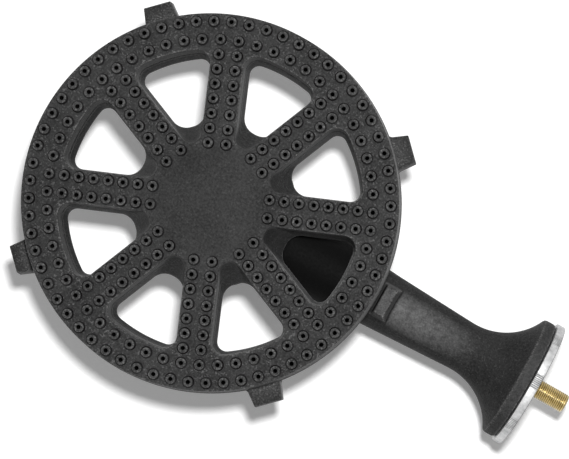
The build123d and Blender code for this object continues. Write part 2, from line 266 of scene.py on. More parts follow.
print("calls of a finish:", [name for name in vars(Finish) if not name.startswith("_")])

# %% [markdown]
# ## Cast iron
# Both castings come out of sand, so the skin is a dull dark grey with a grain of about a millimetre,
# and it is never one even tone. Handling rubs the edges paler, and corners get painted shade. A
# little sheen stands for dust. The arm gets painted highlights along its crest and rim where they face
# up, and painted shade, near black, where it lies under the wheel. A picture of iron would be quicker
# to fetch, but noise in three dimensions has no seams and fits any form. The mesh carries two numbers
# at each point, wear and painted shade, which the shader reads.


# %% Greys of the iron
def grey(level, warmth=0.0):
    """A colour from a level of grey, a little warm or cool."""
    return (level * (1 + warmth), level, level * (1 - warmth), 1)


bare_iron = grey(0.24, 0.01)
# Near black for painted shade: under the wheel on the arm, and in corners.
under_wheel_shade = grey(0.003)
painted_shade_grey = grey(0.004)
print("bare iron:", [round(part, 4) for part in bare_iron[:3]])

# %% [markdown]
# ## How the iron is mixed
# Grain and clouds mix a dark grey with a pale one. Pale flecks lie on that, fainter on the hub than on
# the ring, then worn edges, painted highlight bands, painted shade under the wheel and at last painted
# shade in the corners. It could all be painted by hand, but a stack of mixes stays easy to change. The
# order matters: what is mixed later lies on top.

# %% Cast iron
fleck_paleness = 3.2
quiet_hub, lively_ring = 44 * mm, 56 * mm
under_wheel_shade_fade = 14 * mm


def between(iron, start, end, soft):
    """1 between two places along the arm, and 0 beyond them."""
    x = iron.along("Object", "X")
    rising = iron.spread(x, start - soft, start)
    return iron.product(rising, iron.spread(x, end, end + soft, 1.0, 0.0))


def cast_iron(name, dark, pale, cloud_size, speckle, gloss, dust, highlight_bands=(), under_wheel_shade_end=None):
    """Sand-cast iron: two greys mixed by grain and clouds, with worn edges, painted shade in corners,
    painted highlight bands and painted shade under the wheel.
    """
    iron = Finish(name)
    grain = iron.noise(1.6 * mm, 5.0, 0.68)
    lumps = iron.noise(3.5 * mm, 3.0, 0.55)
    clouds = iron.noise(cloud_size, 4.0, 0.6)
    flecks = iron.noise(1.1 * mm, 2.0, 0.5)
    tone = iron.sum(iron.spread(grain, 0.34, 0.66), 0.7, iron.spread(clouds, 0.3, 0.7))
    colour = iron.mix(iron.spread(tone, 0.3, 1.3), grey(dark), grey(pale))
    from_hub = iron.add("ShaderNodeVectorMath", {0: iron.place}, operation="LENGTH").outputs["Value"]
    patches = iron.spread(lumps, 0.42, 0.6, 0.15, speckle)
    spark = iron.product(iron.spread(flecks, 0.55, 0.66), patches)
    spark = iron.product(spark, iron.spread(from_hub, quiet_hub, lively_ring, 0.25, 1.0))
    colour = iron.mix(spark, colour, grey(pale * fleck_paleness))
    wear_and_highlight = iron.product(iron.on_mesh("wear"), iron.spread(flecks, 0.40, 0.60, 0.1, 1.0))
    colour = iron.mix(wear_and_highlight, colour, bare_iron)
    # Painted highlight: within each band, the surface turns a lighter grey where it faces up.
    for start, end, soft, facing_up, level in highlight_bands:
        facing = iron.spread(iron.along("Normal", "Z"), facing_up, 1.0)
        blotches = iron.sum(lumps, 0.8, iron.sum(flecks, 0.7, clouds))
        patchy = iron.spread(blotches, 0.95, 1.55, 0.3, 1.0)
        wear_and_highlight = iron.product(iron.product(facing, between(iron, start, end, soft)), patchy)
        colour = iron.mix(wear_and_highlight, colour, grey(level))
    # Painted shade: the arm turns near black where it lies under the wheel.
    if under_wheel_shade_end:
        x = iron.along("Object", "X")
        colour = iron.mix(iron.spread(x, under_wheel_shade_end - under_wheel_shade_fade, under_wheel_shade_end, 0.96, 0.0), colour, under_wheel_shade)
    # The second number on the mesh paints shade: corners, grooves and hollows go towards near black.
    colour = iron.mix(iron.on_mesh("grime"), colour, painted_shade_grey)
    iron.skin(iron.sum(grain, 1.6, lumps), 0.22 * mm, 0.75)
    return iron.look(
        Base_Color=colour,
        Roughness=iron.spread(grain, 0.3, 0.7, 0.74, 0.56),
        Specular_IOR_Level=gloss,
        Sheen_Weight=dust,
        Sheen_Roughness=0.35,
    )


print("flecks at full strength from", round(lively_ring / mm), "mm out")

# %% [markdown]
# ## Two castings
# Wheel and arm are the same iron, but they don't look the same. The wheel is a little paler and more
# speckled. The arm gets two painted highlight bands, lighter where the surface faces up: along the
# crest of the tube and round the rim of the bell. Two separate materials could be built node by node.
# One function with two sets of numbers keeps them of a kind.

# %% Iron for the wheel and for the arm
# A painted highlight band is: start, end, soft edge, how far up its surface faces, and its grey.
crest_highlight = (140 * mm, 170 * mm, 40 * mm, 0.70, 0.16)
rim_highlight = (238.2 * mm, 246 * mm, 0.8 * mm, 0.35, 0.075)
wheel_iron = cast_iron(
    "wheel_iron", dark=0.012, pale=0.040, cloud_size=30 * mm, speckle=1.0, gloss=0.16, dust=0.10
)
# The arm gets painted highlights in two bands and painted shade under the wheel.
arm_iron = cast_iron(
    "arm_iron", dark=0.012, pale=0.030, cloud_size=26 * mm, speckle=0.4, gloss=0.05, dust=0.03,
    highlight_bands=(crest_highlight, rim_highlight), under_wheel_shade_end=127 * mm,
)
print("castings:", wheel_iron.name, arm_iron.name)

# %% [markdown]
# ## Painted black shade in the ports
# The bores and the grooves at the ports' roots get painted black shade. The iron above could be
# darkened there by its painted shade alone, but its dusty sheen would still turn the bores grey. So
# they get a finish of their own, with no sheen at all.


# %% Painted black shade for the ports
def black_shade_finish(name):
    """Painted black shade inside the ports: matt black with faint clouds and no shine."""
    black_shade = Finish(name)
    clouds = black_shade.noise(2.5 * mm, 3.0, 0.6)
    black_shade.skin(clouds, 0.1 * mm, 0.6)
    return black_shade.look(
        Base_Color=black_shade.mix(black_shade.spread(clouds, 0.35, 0.65), grey(0.002), grey(0.007, 0.1)),
        Roughness=black_shade.spread(clouds, 0.3, 0.7, 0.9, 1.0),
        Specular_IOR_Level=0.02,
    )


port_black_shade = black_shade_finish("port_black_shade")
print("soot:", port_black_shade.name)

# %% [markdown]
# ## Metal finishes
# The shutter is plated and bright, the inlet is turned brass, and the small hardware is zinc plated.
# All are metals, so the colour is the colour of the reflection. What tells them apart is how the
# surface was made: brass shows fine rings from the lathe, plate is satin with faint waves, and zinc is
# cloudy. The rings could be modelled, but noise that is squeezed along one axis draws them with no
# more faces. The brass also has a clear coat of lacquer, which adds a second, softer shine.

# %% Plate, brass, zinc and spring wire
metal_shade_grey = grey(0.02)


def bright_metal(name, low, high, smooth, dull, rings, ring_depth, lacquer=0.0):
    """Metal with clouds in colour and gloss, painted shade from the mesh, a fine skin of tool marks and
    perhaps a lacquer.
    """
    metal = Finish(name)
    clouds = metal.noise(4 * mm, 4.0, 0.6)
    marks = metal.noise(1.0, 2.0, 0.5, metal.squeezed(*rings))
    colour = metal.mix(metal.spread(clouds, 0.3, 0.7), low, high)
    # Painted shade from the mesh darkens recesses towards a dark grey.
    colour = metal.mix(metal.on_mesh("grime"), colour, metal_shade_grey)
    metal.skin(marks, ring_depth, 0.6)
    return metal.look(
        Base_Color=colour,
        Metallic=1.0,
        Roughness=metal.spread(metal.sum(clouds, 0.5, marks), 0.5, 1.0, smooth, dull),
        Coat_Weight=lacquer,
        Coat_Roughness=0.32,
    )


shutter_plate = bright_metal(
    "shutter_plate", grey(0.38, -0.01), grey(0.64),
    smooth=0.42, dull=0.54, rings=(300, 900, 900), ring_depth=0.02 * mm,
)
turned_brass = bright_metal(
    "turned_brass", (0.40, 0.30, 0.10, 1), (0.74, 0.58, 0.26, 1),
    smooth=0.12, dull=0.26, rings=(5000, 60, 60), ring_depth=0.015 * mm, lacquer=1.0,
)
zinc_plate = bright_metal(
    "zinc_plate", (0.50, 0.51, 0.52, 1), (0.66, 0.66, 0.64, 1),
    smooth=0.28, dull=0.48, rings=(700, 700, 700), ring_depth=0.02 * mm,
)
spring_wire = bright_metal(
    "spring_wire", grey(0.30), grey(0.46),
    smooth=0.24, dull=0.42, rings=(3000, 1500, 1500), ring_depth=0.01 * mm,
)
print("metals:", shutter_plate.name, turned_brass.name, zinc_plate.name, spring_wire.name)

# %% [markdown]
# ## Gasket sheet
# The gasket is cut from graphite sheet: dark and matt, with pale hairs that lie flat in it. A picture
# of the sheet would have to be unwrapped first. Noise that is squeezed less along one axis than along
# the others draws the hairs without that.


# %% Graphite sheet
def pressed_fibre(name):
    """Graphite sheet: dark, matt, with pale hairs that lie flat in it."""
    sheet = Finish(name)
    hairs = sheet.noise(1.0, 3.0, 0.6, sheet.squeezed(2600, 500, 3000))
    clouds = sheet.noise(6 * mm)
    colour = sheet.mix(sheet.spread(hairs, 0.5, 0.75), grey(0.035), grey(0.12))
    colour = sheet.mix(sheet.spread(clouds, 0.35, 0.7, 0.0, 0.4), colour, grey(0.05))
    sheet.skin(hairs, 0.05 * mm)
    return sheet.look(Base_Color=colour, Roughness=sheet.spread(hairs, 0.3, 0.7, 0.85, 0.7))


gasket_fibre = pressed_fibre("gasket_fibre")
print("gasket sheet:", gasket_fibre.name)

# %% [markdown]
# ## Skins
# Every piece here is a closed skin. Most of it is walls between loops: a loop of points, the next loop
# with as many points, and four-sided faces between them. Turned work, cast walls and screw threads all
# fit that. A sculpted mesh would have no such order. The class below collects loops and walls and
# makes the Blender mesh.


# %% Skin: loops, walls and the mesh
class Skin:
    """Points and faces of one piece, gathered loop by loop, with wear and painted shade at each point.
    """

    def __init__(self):
        self.points = []
        self.faces = []
        self.wear = []
        self.grime = []

    def loop(self, points, wear=0.0, grime=0.0):
        first = len(self.points)
        self.points.extend(tuple(float(value) for value in point) for point in points)
        count = len(self.points) - first
        self.wear.extend(np.broadcast_to(wear, count).tolist())
        self.grime.extend(np.broadcast_to(grime, count).tolist())
        return list(range(first, first + count))

    def wall(self, upper, lower):
        for i, start in enumerate(upper):
            j = (i + 1) % len(upper)
            self.faces.append((start, upper[j], lower[j], lower[i]))

    def walls(self, loops, closed=False):
        for upper, lower in zip(loops, loops[1:]):
            self.wall(upper, lower)
        if closed:
            self.wall(loops[-1], loops[0])

    def plug(self, loop, centre, wear=0.0, grime=0.0):
        middle = self.loop([centre], wear, grime)[0]
        for i, start in enumerate(loop):
            self.faces.append((start, loop[(i + 1) % len(loop)], middle))

    def mesh(self, name):
        made = bpy.data.meshes.new(name)
        made.from_pydata(self.points, [], self.faces)
        for track, values in (("wear", self.wear), ("grime", self.grime)):
            made.attributes.new(track, "FLOAT", "POINT").data.foreach_set("value", values)
        sorted_out = bmesh.new()
        sorted_out.from_mesh(made)
        bmesh.ops.recalc_face_normals(sorted_out, faces=sorted_out.faces)
        sorted_out.to_mesh(made)
        sorted_out.free()
        return made


print("calls of a skin:", [name for name in vars(Skin) if not name.startswith("_")])

# %% [markdown]
# ## Putting a piece in place
# A finished mesh stands where one packed node stood, and rides on one body of the burner when it is
# given one. Flat faces need crisp edges and round ones need a soft shade, so faces are shaded smooth
# and creased by angle. A bevel on every edge would do that too, with many more faces.


# %% Dress a packed node
def dress(mesh, finish, node, body=None, crease=40):
    """Make an object of a finished mesh, in place of a packed node, and let it ride on a body."""
    mesh.materials.clear()
    mesh.materials.append(finish)
    mesh.shade_smooth()
    mesh.set_sharp_from_angle(angle=math.radians(crease))
    piece = put_in_scene(mesh.name, mesh)
    if body:
        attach(piece, body)
    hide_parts(node)
    print(f"{piece.name}: {len(mesh.vertices)} points, {len(mesh.polygons)} faces, for {node}")
    return piece


print("nodes to dress:", sorted(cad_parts))

# %% [markdown]
# ## The wheel: sizes
# The wheel is one hollow casting: ring, eight spokes and hub. Its edges part half-way up, where the
# two halves of the mould met. The windows narrow a little from the plate down to that line and more
# below it. All sizes could be written here, but those that the packed model's boxes hold are read from
# them, so that both models stay of one size.

# %% Sizes of the wheel
nub_height = 2.2 * mm
edge_flare = 1.9 * mm
head_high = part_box("burner_head")[1]
plate_top = head_high.z - nub_height
ring_widest = head_high.x
ring_top = ring_widest - edge_flare
parting_z = 13 * mm
underside_z = 1 * mm
spoke_count = 8
spoke_half = 12 * mm
ring_inner = 102 * mm
hub_radius = 42 * mm
corner_round = 8 * mm
tip_fill = 0.9
wall_lean = math.tan(math.radians(1.5))
foot_lean = math.tan(math.radians(10))
foot_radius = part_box("hub_gasket")[1].x
foot_top = 2 * mm
foot_shoulder = plate_top - 2 * mm
wheel_width, wheel_height = round(2 * ring_widest / mm, 1), round(plate_top / mm, 1)
print("wheel in mm:", wheel_width, "across,", wheel_height, "high")

# %% [markdown]
# ## The wheel: outline of a window
# A window has two spoke sides, the ring and the hub, joined by round corners. It could be traced as a
# list of points, but a formula draws it at any height, and that is needed: the walls lean, and the
# hub's foot flares out as it goes down.

# %% Outline of a window at any height
ring_points, corner_points, side_points, tip_points, hub_arc_points = 12, 10, 14, 9, 5
half_window = ring_points + corner_points + side_points + tip_points + hub_arc_points


def arc(centre, radius, start, end, count):
    """Points of an arc without its last one."""
    turn = np.linspace(start, end, count, endpoint=False)
    return np.column_stack([centre[0] + radius * np.cos(turn), centre[1] + radius * np.sin(turn)])


def window_outline(grow, hub):
    """Outline of the window on the +X axis, grown by an amount into the metal round it."""
    half, ring = spoke_half - grow, ring_inner + grow
    hub = hub - grow
    lean = math.pi / spoke_count
    full_round = (hub - half) * math.sin(lean) / (1 - math.sin(lean)) - half
    corner, tip = corner_round + grow, tip_fill * full_round
    along = np.array([math.cos(lean), math.sin(lean)])
    inward = np.array([math.sin(lean), -math.cos(lean)])
    corner_out = math.sqrt((ring - corner) ** 2 - (half + corner) ** 2)
    corner_at = corner_out * along + (half + corner) * inward
    tip_at = math.sqrt((hub + tip) ** 2 - (half + tip) ** 2) * along + (half + tip) * inward
    corner_turn = math.atan2(corner_at[1], corner_at[0])
    tip_turn = math.atan2(tip_at[1], tip_at[0])
    side_turn = lean + math.pi / 2
    side_start, side_end = corner_at - corner * inward, tip_at - tip * inward
    upper = np.vstack([
        arc((0, 0), ring, 0, corner_turn, ring_points),
        arc(corner_at, corner, corner_turn, side_turn, corner_points),
        np.linspace(side_start, side_end, side_points, endpoint=False),
        arc(tip_at, tip, side_turn, math.pi + tip_turn, tip_points),
        arc((0, 0), hub, tip_turn, 0, hub_arc_points),
        [(hub, 0)],
    ])
    lower = upper[-2:0:-1] * (1, -1)
    return np.vstack([upper, lower])


print("points round a window:", len(window_outline(0, hub_radius)))

# %% [markdown]
# ## The wheel: places of the ports
# There are 232 raised ports in two rows on the ring and two rows on each spoke. Each row is a pattern
# with a start, a pitch and a count, as it would be on a drilling jig. An Array modifier could repeat a
# port as well, but the plate has to know where its holes are.

# %% Places of the ports
ring_rows = ((121.0 * mm, 64), (109.1 * mm, 56))
spoke_row_offset = 6.1 * mm
spoke_row_start = 39.4 * mm
spoke_row_pitch = 9.92 * mm
spoke_row_ports = 7
port_places = [
    (radius * math.cos(2 * math.pi * i / count), radius * math.sin(2 * math.pi * i / count))
    for radius, count in ring_rows
    for i in range(count)
]
for spoke in range(spoke_count):
    lean = 2 * math.pi * (spoke + 0.5) / spoke_count
    for side in (-spoke_row_offset, spoke_row_offset):
        for i in range(spoke_row_ports):
            out = spoke_row_start + spoke_row_pitch * i
            port_places.append((
                out * math.cos(lean) - side * math.sin(lean),
                out * math.sin(lean) + side * math.cos(lean),
            ))
print("ports:", len(port_places))

# %% [markdown]
# ## The wheel: shape of a port
# The ports could be scattered as copies of one small object, but here each one grows out of the plate:
# the plate gets a round hole, and a column of loops dips into a groove, rises, turns over the top and
# goes down into the drilled bore. Copies would leave a sharp seam at every root. Each row of the
# profile is radius and height in mm, wear and painted shade. Rims of the outermost row are held inside
# the plate's edge.

# %% Profile of a port
nub_steps = 16
# Painted shade: dark in the groove round the root, and full in the bore.
nub_profile = (
    (4.33, 0.00, 0.0, 0.25),
    (4.10, -0.05, 0.0, 1.00),
    (3.82, -0.22, 0.0, 1.00),
    (3.56, 0.05, 0.0, 1.00),
    (3.36, 1.70, 0.0, 0.60),
    (3.16, 2.06, 0.4, 0.00),
    (2.86, 2.20, 0.25, 0.00),
    (1.62, 2.20, 0.05, 0.10),
    (1.44, 2.06, 0.0, 0.60),
    (1.38, 1.60, 0.0, 1.00),
    (1.34, -20.0, 0.0, 1.00),
)
nub_base_rings = 4
nub_top_ring = 6
outer_limit, limit_step = 126.16, 0.12  # in mm, as in the profile
nub_limits = [(outer_limit - limit_step * level) * mm for level in range(nub_base_rings + 1)]
print("loops of a port:", len(nub_profile), "of", nub_steps, "points")

# %% [markdown]
# ## The wheel: growing a port
# Real ports differ a little, so each has its own height, its bore wanders slightly off the middle, and
# the painted shade round its root is lighter on one side. Chance decides that, from a fixed start, so
# that every run gives the same wheel. The bores end blind, deep in the dark, because the inside of the
# casting can't be seen through them.

# %% Grow one port
height_spread = 0.06
bore_wander = 0.06 * mm
unshaded_share = 0.75
chance = np.random.default_rng(11)


def grow_port(skin, x, y):
    """Add one port, and return the loop that the plate joins."""
    turn = np.linspace(0, 2 * math.pi, nub_steps, endpoint=False)
    tall = 1 - height_spread * chance.random()
    drift = chance.normal(0, bore_wander, 2)
    unshaded_side = 2 * math.pi * chance.random()
    # The painted shade round the root is lighter on one random side.
    patchy_shade = 1 - unshaded_share * chance.random() * (0.5 + 0.5 * np.cos(turn - unshaded_side)) ** 2
    loops = []
    for level, (radius, height, wear, grime) in enumerate(nub_profile):
        shift = drift if level > nub_top_ring else (0, 0)
        height = height * tall if level >= nub_base_rings else height
        rim = np.column_stack([
            x + shift[0] + radius * mm * np.cos(turn),
            y + shift[1] + radius * mm * np.sin(turn),
        ])
        if level < len(nub_limits):
            rim *= np.minimum(1, nub_limits[level] / np.hypot(*rim.T))[:, None]
        grime = grime * patchy_shade if level <= nub_base_rings else grime
        heights = np.full(nub_steps, plate_top + height * mm)
        loops.append(skin.loop(np.column_stack([rim, heights]), wear, grime))
    skin.walls(loops)
    bore_depth = nub_profile[-1][1] * mm
    skin.plug(loops[-1], (x + drift[0], y + drift[1], plate_top + bore_depth), 0.0, 1.0)
    return loops[0]


print("port heights differ by up to", round(height_spread * nub_height / mm, 2), "mm")

# %% [markdown]
# ## The wheel: outline of a lug
# Four lugs stand out from the ring, and the burner rests on them. Each has a flat tip, tapering sides
# with small corners, and a fillet where it leaves the ring. A block with a bevel would come close, but
# the fillet has to touch both the side and the ring, and a formula finds where.

# %% Outline of a lug
lug_count = 4
lug_tip = 141.2 * mm
lug_tip_half = 10.2 * mm
lug_taper = math.radians(9)
lug_lean = math.tan(math.radians(4))
lug_corner = 0.7 * mm
lug_fillet = 4.5 * mm
fillet_points, flank_points, lug_corner_points, face_points = 8, 3, 5, 3
ring_foot = ring_widest - 1 * mm
side_out = np.array([math.sin(lug_taper), math.cos(lug_taper)])
side_in = np.array([-math.cos(lug_taper), math.sin(lug_taper)])


def lug_fillet_centre(inset):
    """Where a fillet's centre lies, so that it touches both the lug's side and the ring."""
    start = np.array([lug_tip - inset, lug_tip_half - inset]) + lug_fillet * side_out
    back = start @ side_in
    return start - side_in * (back + math.sqrt(back**2 - start @ start + (ring_foot + lug_fillet) ** 2))


def lug_outline(inset):
    """One side of the lug on the +X axis, from its root to the middle of its tip."""
    tip = lug_tip - inset
    root = lug_fillet_centre(inset)
    side_turn = math.atan2(side_out[1], side_out[0])
    root_turn = math.atan2(-root[1], -root[0])
    corner_back = lug_corner * (1 - side_out[0]) / side_out[1]
    corner_at = np.array([lug_tip - inset - lug_corner, lug_tip_half - inset - corner_back])
    flank_start, flank_end = root - lug_fillet * side_out, corner_at + lug_corner * side_out
    return np.vstack([
        arc(root, lug_fillet, root_turn, side_turn - math.pi, fillet_points),
        np.linspace(flank_start, flank_end, flank_points, endpoint=False),
        arc(corner_at, lug_corner, side_turn, 0, lug_corner_points),
        np.linspace((tip, corner_at[1]), (tip, 0), face_points),
    ])


lug_half_turn = math.atan2(*lug_fillet_centre(0)[::-1])
lug_steps = len(lug_outline(0))
print("points along one side of a lug:", lug_steps)

# %% [markdown]
# ## The wheel: loops round the outside
# The outside wall goes from the plate's edge over a soft corner, down to the thin ridge at the
# parting, and on to the underside, with the lugs below the ridge. They could be separate blocks joined
# by a boolean, but a loop can simply run out round each lug and back. Above the ridge the same points
# lie on the ring, so one set of walls makes ring and lugs together, with no seam.

# %% Loops of the outside wall
ring_steps = 44


def spin_matrix(spin):
    """What turns points about the upright axis."""
    return np.array([
        [math.cos(spin), -math.sin(spin), 0],
        [math.sin(spin), math.cos(spin), 0],
        [0, 0, 1],
    ])


def wall_loop(ring_radius, ring_z, lug_inset=None, lug_z=None):
    """One loop round the wheel, along each lug's outline or, without an inset, along the ring."""
    sector = 2 * math.pi / lug_count
    if lug_inset is None:
        turn = np.linspace(lug_half_turn, 0, lug_steps)
        side = np.column_stack([ring_radius * np.cos(turn), ring_radius * np.sin(turn)])
    else:
        side = lug_outline(lug_inset)
    lug = np.vstack([side[:-1] * (1, -1), side[::-1]])
    lug = np.column_stack([lug, np.full(len(lug), ring_z if lug_z is None else lug_z)])
    gap = np.linspace(lug_half_turn, sector - lug_half_turn, ring_steps + 1, endpoint=False)[1:]
    ring_x, ring_y = ring_radius * np.cos(gap), ring_radius * np.sin(gap)
    ring = np.column_stack([ring_x, ring_y, np.full(len(gap), ring_z)])
    quarter = np.vstack([lug, ring])
    return np.vstack([quarter @ spin_matrix(sector * (i + 0.5)).T for i in range(lug_count)])


print("points round the wheel:", len(wall_loop(ring_top, plate_top)))

# %% [markdown]
# ## The wheel: stacking the outside
# Now the loops are stacked, first from the plate's edge down to the parting. The plate's corner is a
# short curve of four loops with some wear on it. A bevel would round every edge alike, but here the
# ridge stays thin.

# %% Stack the outside wall
wheel = Skin()
edge_run, edge_drop = 0.35 * mm, 1.0 * mm
edge_wear = (0.1, 0.35, 0.4, 0.1)
ridge = 0.3 * mm
ridge_wear = 0.2
wall_heights = (23 * mm, 19 * mm, 15 * mm, parting_z + 0.8 * mm)
ridge_heights = (parting_z + 0.25 * mm, parting_z)
upper_slope = (ring_widest - ring_top) / (plate_top - parting_z)
lower_slope = (ring_widest - ring_foot) / (parting_z - underside_z)


def soft_corner(start, knee, end, count):
    """Points of a rounded corner from start to end, pulled towards the knee."""
    share = np.linspace(0, 1, count)[:, None]
    start, knee, end = (np.array(point) for point in (start, knee, end))
    return start * (1 - share) ** 2 + knee * 2 * share * (1 - share) + end * share**2


outer_loops = []
edge_start = (ring_top - edge_run, plate_top)
edge_end = (ring_top + edge_drop * upper_slope, plate_top - edge_drop)
edge_curve = soft_corner(edge_start, (ring_top, plate_top), edge_end, len(edge_wear))
for (radius, z), wear in zip(edge_curve, edge_wear):
    outer_loops.append(wheel.loop(wall_loop(radius, z), wear))
for z in wall_heights:
    radius = ring_widest - ridge - (z - parting_z) * upper_slope
    outer_loops.append(wheel.loop(wall_loop(radius, z)))
for z in ridge_heights:
    outer_loops.append(wheel.loop(wall_loop(ring_widest, z), ridge_wear))
print("loops down to the parting:", len(outer_loops))

# %% [markdown]
# ## The wheel: lugs
# Below the parting each loop has two heights, one on the ring and one on the lugs, because the lugs
# reach 1 mm lower: the burner stands on them. The last two loops step back up to the ring's underside.
# Lugs pulled out of the finished wall would do, but their sides would be stretched.

# %% Stack the lugs and the lower half of the ring
lug_round = 0.9 * mm
lug_ease = 0.3
# Painted shade on the lugs and on the ring's wall below the parting.
lug_grime = 0.35
lug_rows = (
    # inset and height on the lug, wear, height on the ring
    (lug_round, parting_z, 0.0, parting_z - 0.5 * mm),
    (lug_ease * lug_round, parting_z - lug_ease * lug_round, 0.5, parting_z - 0.9 * mm),
    (0.0, parting_z - lug_round, 0.2, parting_z - 1.4 * mm),
    (0.0, lug_round, 0.1, 3.2 * mm),
    (lug_ease * lug_round, lug_ease * lug_round, 0.5, 1.8 * mm),
    (lug_round, 0.0, 0.1, underside_z),
)
for inset, lug_z, wear, ring_z in lug_rows:
    radius = ring_widest - ridge - (parting_z - ring_z) * lower_slope
    radius -= lug_round if ring_z == underside_z else 0
    rim = wall_loop(radius, ring_z, inset + lug_z * lug_lean, lug_z)
    outer_loops.append(wheel.loop(rim, wear, lug_grime))
lug_inner = ring_foot - 4 * mm
lug_step = 0.3 * mm
outer_loops.append(wheel.loop(wall_loop(lug_inner + lug_step, underside_z, lug_z=0.0)))
outer_loops.append(wheel.loop(wall_loop(lug_inner, underside_z)))
wheel.walls(outer_loops)
print("outside wall:", len(outer_loops), "loops")

# %% [markdown]
# ## The wheel: levels of a window
# Each window is a stack of loops from the plate down to the underside, and its end at the hub follows
# the flaring foot. Its top edge is rounded, and the ridge of the parting shows half-way down. Cutting
# eight holes with a boolean would leave knife edges and nowhere to store the wear.

# %% Levels of a window
ridge_grow = 0.3
window_levels = [
    # height, how far the loop steps back into the metal in mm, wear
    (plate_top, 0.85, 0.0),
    (plate_top, 0.6, 0.25),
    (plate_top - 0.2 * mm, 0.25, 0.6),
    (plate_top - 0.6 * mm, 0.05, 0.3),
    (plate_top - 1.4 * mm, 0.0, 0.0),
    *((z * mm, 0.0, 0.0) for z in (24, 21, 18, 15.5)),
    (parting_z + 0.8 * mm, 0.0, 0.1),
    (parting_z + 0.2 * mm, -ridge_grow, 0.5),
    (parting_z - 0.2 * mm, -ridge_grow, 0.5),
    (parting_z - 0.8 * mm, 0.0, 0.0),
    *((z * mm, 0.0, 0.0) for z in (10.5, 9, 8, 7, 4.5, 2.6)),
    (1.5 * mm, 0.3, 0.4),
    (underside_z, 1.1, 0.2),
]
ridge_clear = 2 * mm


def foot_share(z):
    """How much of the foot's flare is left at a height: 1 at its land and 0 at its shoulder."""
    return float(np.clip((foot_shoulder - z) / (foot_shoulder - foot_top), 0, 1))


def window_loop(z, extra, spin):
    """The window's outline at a height, turned to its place on the wheel."""
    lean = wall_lean if z > parting_z else foot_lean
    grow = (z - parting_z) * lean + (extra + ridge_grow) * mm
    hub = hub_radius + (foot_radius - hub_radius) * foot_share(z) + grow
    hub -= extra * mm if z > parting_z + ridge_clear else 0
    flat = window_outline(grow, hub)
    return np.column_stack([flat @ spin_matrix(spin)[:2, :2].T, np.full(len(flat), z)])


print("levels of a window:", len(window_levels))

# %% [markdown]
# ## The wheel: eight windows
# Hands rub the top edge of a window pale, but hardly its end at the hub. The wall below the edge gets
# painted shade. Both could be painted, but the place of a point already tells how much of each it gets.

# %% Stack the eight windows
hub_end, hub_fade = 60 * mm, 8 * mm
hub_unworn = 0.85
wall_dark, hub_wall_paler = 0.55, 0.1
shade_start, shade_run = 0.5 * mm, 1 * mm


def hub_share(points):
    """1 at a window's end on the hub, and 0 away from it."""
    return np.clip((hub_end - np.hypot(points[:, 0], points[:, 1])) / hub_fade, 0, 1)


window_tops, window_feet = [], []
for i in range(spoke_count):
    spin = 2 * math.pi * i / spoke_count
    stack = []
    for z, extra, wear in window_levels:
        points = window_loop(z, extra, spin)
        at_hub = hub_share(points)
        below_edge = np.clip((plate_top - shade_start - z) / shade_run, 0, 1)
        # Painted shade on the wall below the edge, a little less at the hub.
        grime = (wall_dark - hub_wall_paler * at_hub) * below_edge
        stack.append(wheel.loop(points, wear * (1 - hub_unworn * at_hub), grime))
    wheel.walls(stack)
    window_tops.append(stack[0])
    window_feet.append(stack[-1])
print("windows:", len(window_tops), "of", len(window_levels), "loops")

# %% [markdown]
# ## The wheel: plate
# Plate and underside are flat, and the plate has eight windows and 232 ports in it. One big face with
# holes isn't possible in a mesh, and a grid would cross the round rims. So they are filled by a
# constrained Delaunay triangulation, which accepts any number of holes.


# %% Fill the plate
def in_metal(spots, starts, ends):
    """True for each spot inside an odd number of loops, by counting the edges to its right."""
    x, y = spots[:, :1], spots[:, 1:]
    rise = ends[:, 1] - starts[:, 1]
    run = ends[:, 0] - starts[:, 0]
    reach = starts[:, 0] + (y - starts[:, 1]) * run / np.where(rise == 0, 1, rise)
    crossed = ((starts[:, 1] > y) != (ends[:, 1] > y)) & (x < reach)
    return crossed.sum(axis=1) % 2 == 1


def fill(skin, loops):
    """Fill the flat region inside the first loop and outside the others."""
    numbers = [number for loop in loops for number in loop]
    flat = np.array([skin.points[number][:2] for number in numbers]) / mm
    edges = []
    for loop in loops:
        first = len(edges)
        edges += [(first + i, first + (i + 1) % len(loop)) for i in range(len(loop))]
    triangles_inside, weld = 1, 1e-7
    spots = [Vector(spot) for spot in flat]
    found = delaunay_2d_cdt(spots, edges, [], triangles_inside, weld)
    came_from = [origins[0] for origins in found[3]]
    corners = np.array([[came_from[corner] for corner in face] for face in found[2]])
    starts, ends = flat[[start for start, end in edges]], flat[[end for start, end in edges]]
    kept = corners[in_metal(flat[corners].mean(axis=1), starts, ends)]
    skin.faces.extend(tuple(numbers[corner] for corner in face) for face in kept)
    return len(kept)


port_rims = [grow_port(wheel, x, y) for x, y in port_places]
plate_faces = fill(wheel, [outer_loops[0], *window_tops, *port_rims])
print("plate faces:", plate_faces)

# %% [markdown]
# ## The wheel: foot
# Seen from below, the underside is a star of ring and spokes round the foot. The windows' ends give
# the foot most of its circle, and short arcs across the spokes close it. From that circle the foot
# steps down to its land, where the gasket sits. A separate disc would do, but it would show a seam.

